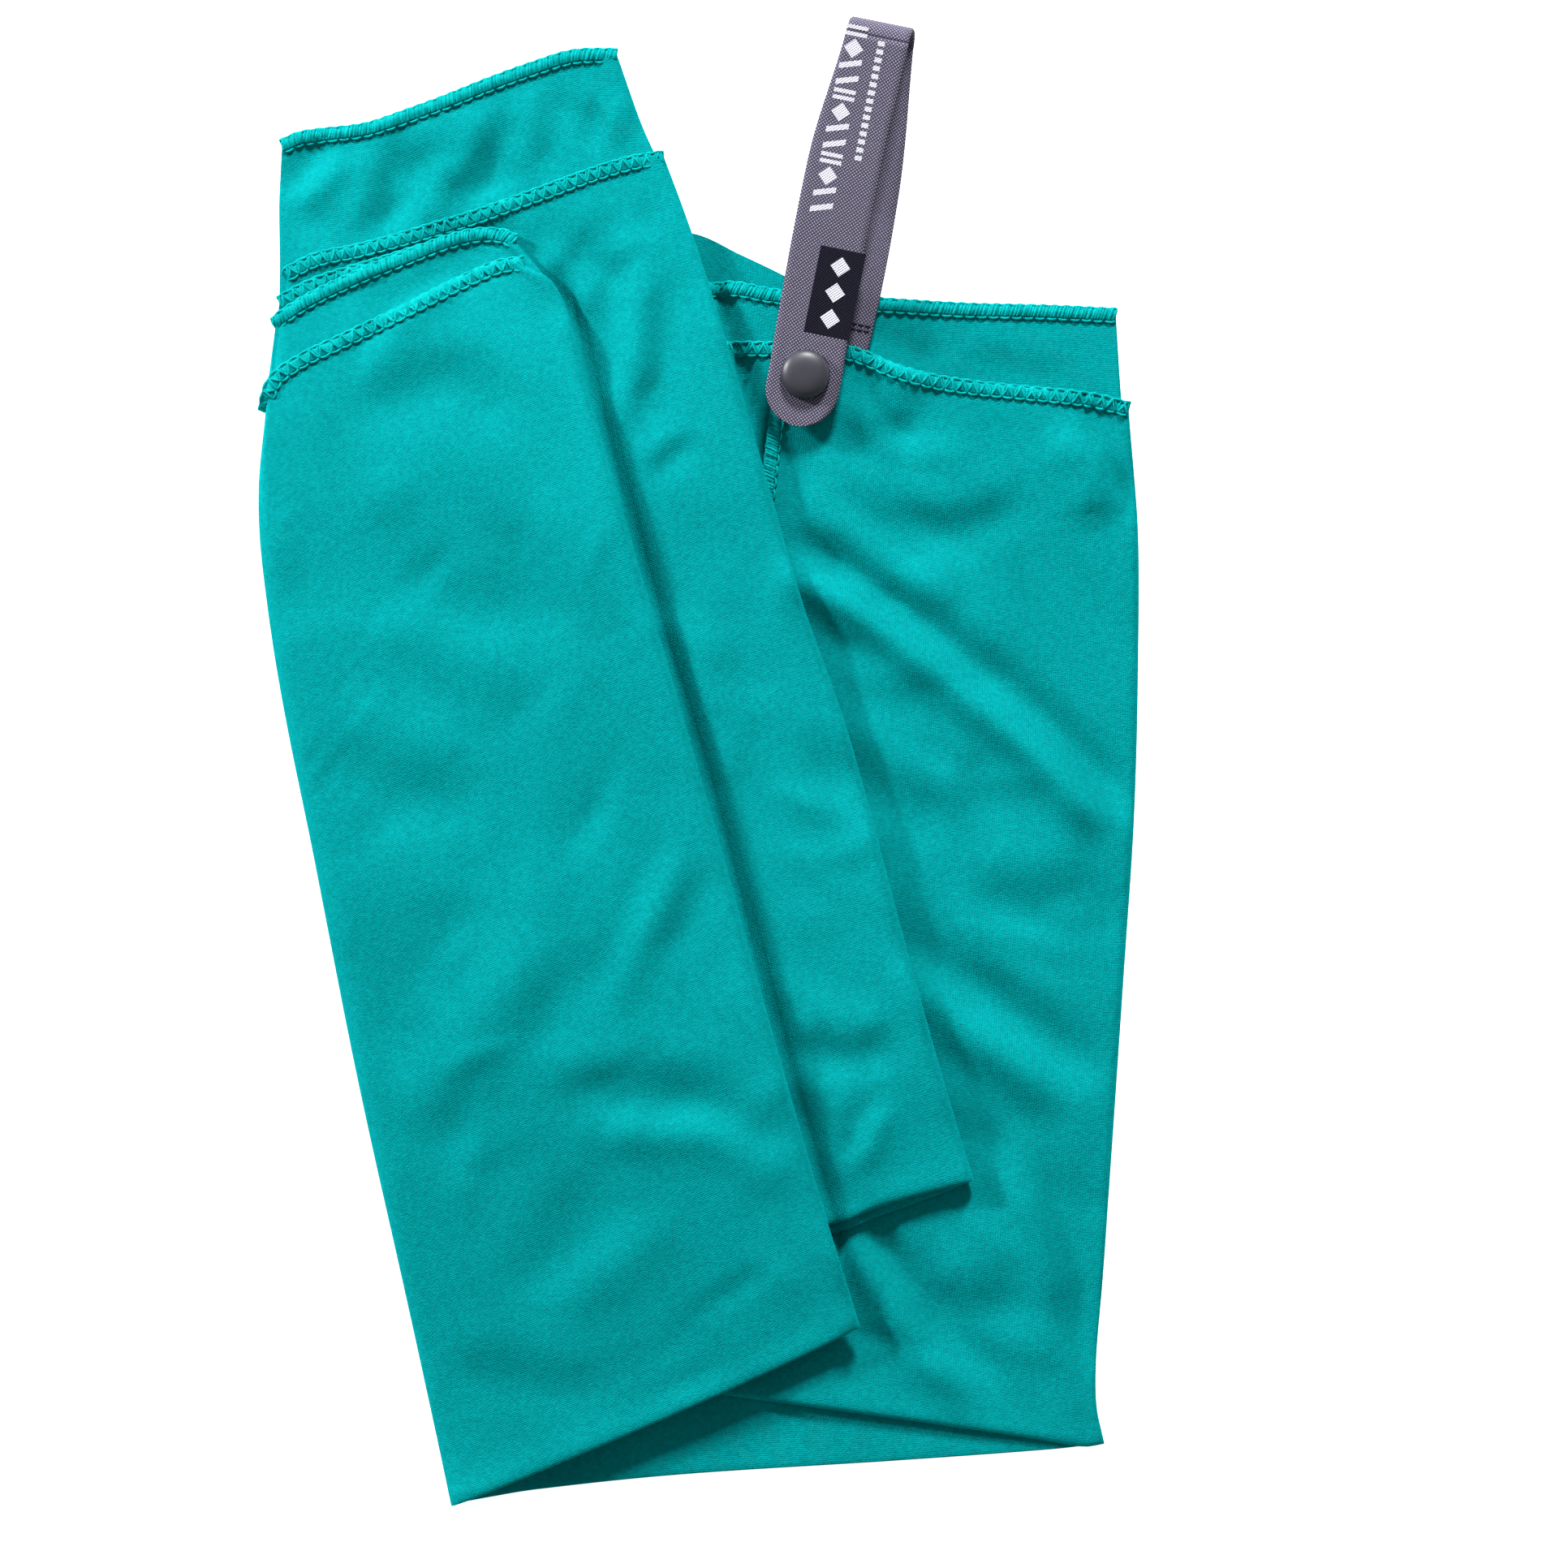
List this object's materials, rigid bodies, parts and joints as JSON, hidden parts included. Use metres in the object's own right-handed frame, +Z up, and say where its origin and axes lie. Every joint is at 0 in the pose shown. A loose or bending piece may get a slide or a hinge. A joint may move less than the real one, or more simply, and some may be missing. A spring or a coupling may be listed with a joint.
{
  "type": "quick dry towel",
  "caption": "Folded microfibre travel towel with overlocked edges and a hang loop at one corner that opens with a snap fastener.",
  "frame": {"origin": "centre of the bounding box on the surface that the towel lies on", "axes": "+Y towards the hang loop, along the folded towel's length; +X to the right, where the towel's end is; +Z up, out of the pile of cloth"},
  "size_m": [0.2006, 0.3414, 0.0135],
  "materials": {
    "towel_cloth": "fine brushed microfibre knit",
    "hem_thread": "textured overlock yarn",
    "strap_tape": "woven tape",
    "strap_thread": "sewing thread",
    "snap_plastic": "matte moulded resin"
  },
  "bodies": {
    "towel": {"rear_panel": "towel_cloth", "right_panel_back": "towel_cloth", "right_panel_front": "towel_cloth", "left_fold": "towel_cloth", "rear_hem": "hem_thread", "right_hem_back": "hem_thread", "right_hem_front": "hem_thread", "end_hem": "hem_thread", "loop_back_leg": "strap_tape", "loop_bend": "strap_tape", "loop_bar_tack": "strap_thread", "snap_stud": "snap_plastic", "snap_backing": "snap_plastic"},
    "flap": {"front_panel": "towel_cloth", "front_return_panel": "towel_cloth", "middle_panel": "towel_cloth", "middle_return_panel": "towel_cloth", "inner_return_panel": "towel_cloth", "inner_panel": "towel_cloth", "front_hem_front": "hem_thread", "front_hem_back": "hem_thread", "return_hem": "hem_thread", "middle_hem_front": "hem_thread", "middle_hem_back": "hem_thread", "inner_hem_front": "hem_thread", "inner_hem_back": "hem_thread"},
    "tab": {"loop_front_leg": "strap_tape", "snap_socket": "snap_plastic", "snap_cap": "snap_plastic"}
  },
  "joints": [
    {"name": "flap_fold", "type": "hinge", "parent": "towel", "child": "flap", "pos_m": [-0.051, -0.17, 0.0067], "axis": [0.1879, -0.9822, 0], "range_deg": [0, 179.5], "deforming": ["left_fold"]},
    {"name": "tab_bend", "type": "hinge", "parent": "towel", "child": "tab", "pos_m": [0.03952, 0.16485, 0.0046], "axis": [-0.9803, 0.1977, 0], "range_deg": [0, 150], "deforming": ["loop_bend"]}
  ]
}
